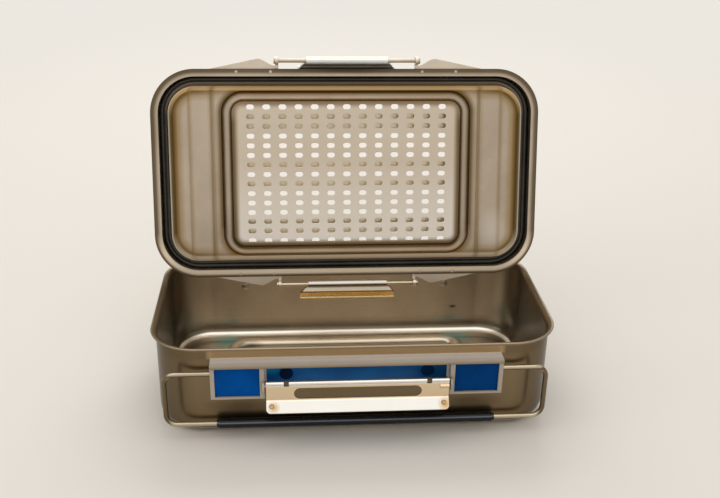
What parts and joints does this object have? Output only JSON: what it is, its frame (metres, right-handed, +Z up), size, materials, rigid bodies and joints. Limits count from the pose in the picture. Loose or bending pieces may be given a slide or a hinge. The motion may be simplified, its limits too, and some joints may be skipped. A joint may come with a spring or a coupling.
{
  "type": "instrument tray",
  "caption": "Shallow drawn instrument tray with rolled rim, bail handles, latch levers and blue tags; its perforated gasketed lid stands parked on the rear corners.",
  "frame": {"origin": "middle of the flat underside of the tray", "axes": "+X along the long side to the right, +Y from the front latch to the rear, +Z up"},
  "size_m": [0.299, 0.1861, 0.2323],
  "materials": {
    "tray_metal": "satin, lightly scuffed",
    "lid_metal": "satin, lightly scuffed",
    "bracket_metal": "satin",
    "wing_metal": "satin",
    "polished_steel": "polished stainless steel",
    "wire_steel": "drawn stainless wire",
    "rivet_steel": "plain steel",
    "tag_blue": "blue anodised, satin",
    "plate_blue": "blue anodised, satin",
    "stud_dark": "dark blue lacquer",
    "grip_rubber": "black silicone",
    "gasket_rubber": "black silicone"
  },
  "bodies": {
    "tray": {"tray_shell": "tray_metal", "front_bracket": "bracket_metal", "rear_bracket": "bracket_metal", "front_left_tag": "tag_blue", "front_right_tag": "tag_blue", "rear_left_tag": "tag_blue", "rear_right_tag": "tag_blue", "front_centre_plate": "plate_blue", "rear_centre_plate": "plate_blue", "front_plate_studs": "stud_dark", "rear_plate_studs": "stud_dark", "front_rivets": "rivet_steel", "rear_rivets": "rivet_steel", "front_lever_pins": "rivet_steel", "rear_lever_pins": "rivet_steel"},
    "front_handle": {"front_handle_wire": "wire_steel", "front_handle_grip": "grip_rubber"},
    "rear_handle": {"rear_handle_wire": "wire_steel", "rear_handle_grip": "grip_rubber"},
    "front_latch": {"front_lever": "polished_steel"},
    "rear_latch": {"rear_lever": "polished_steel"},
    "lid": {"lid_panel": "lid_metal", "lid_gasket": "gasket_rubber", "front_keeper_bracket": "wing_metal", "rear_keeper_bracket": "wing_metal", "lid_rivets": "rivet_steel", "front_keeper_pin": "wire_steel", "rear_keeper_pin": "wire_steel", "vent_guard": "lid_metal", "guard_studs": "rivet_steel"},
    "upper_keeper": {"front_keeper": "polished_steel"},
    "lower_keeper": {"rear_keeper": "polished_steel"}
  },
  "joints": [
    {"name": "lid_lift", "type": "slide", "parent": "tray", "child": "lid", "axis": [0, 0, 1], "range_m": [0, 0.15]},
    {"name": "front_handle_swing", "type": "hinge", "parent": "tray", "child": "front_handle", "pos_m": [0, -0.075, 0.0531], "axis": [-1, 0, 0], "range_deg": [0, 95]},
    {"name": "rear_handle_swing", "type": "hinge", "parent": "tray", "child": "rear_handle", "pos_m": [0, 0.075, 0.0531], "axis": [1, 0, 0], "range_deg": [0, 95]},
    {"name": "front_lever_swing", "type": "hinge", "parent": "tray", "child": "front_latch", "pos_m": [0, -0.08, 0.0454], "axis": [-1, 0, 0], "range_deg": [0, 95]},
    {"name": "rear_lever_swing", "type": "hinge", "parent": "tray", "child": "rear_latch", "pos_m": [0, 0.08, 0.0454], "axis": [1, 0, 0], "range_deg": [0, 95]},
    {"name": "upper_keeper_swing", "type": "hinge", "parent": "lid", "child": "upper_keeper", "pos_m": [0, 0.08286, 0.22936], "axis": [1, 0, 0], "range_deg": [0, 210]},
    {"name": "lower_keeper_swing", "type": "hinge", "parent": "lid", "child": "lower_keeper", "pos_m": [0, 0.041, 0.0615], "axis": [1, 0, 0], "range_deg": [-120, 90]}
  ]
}
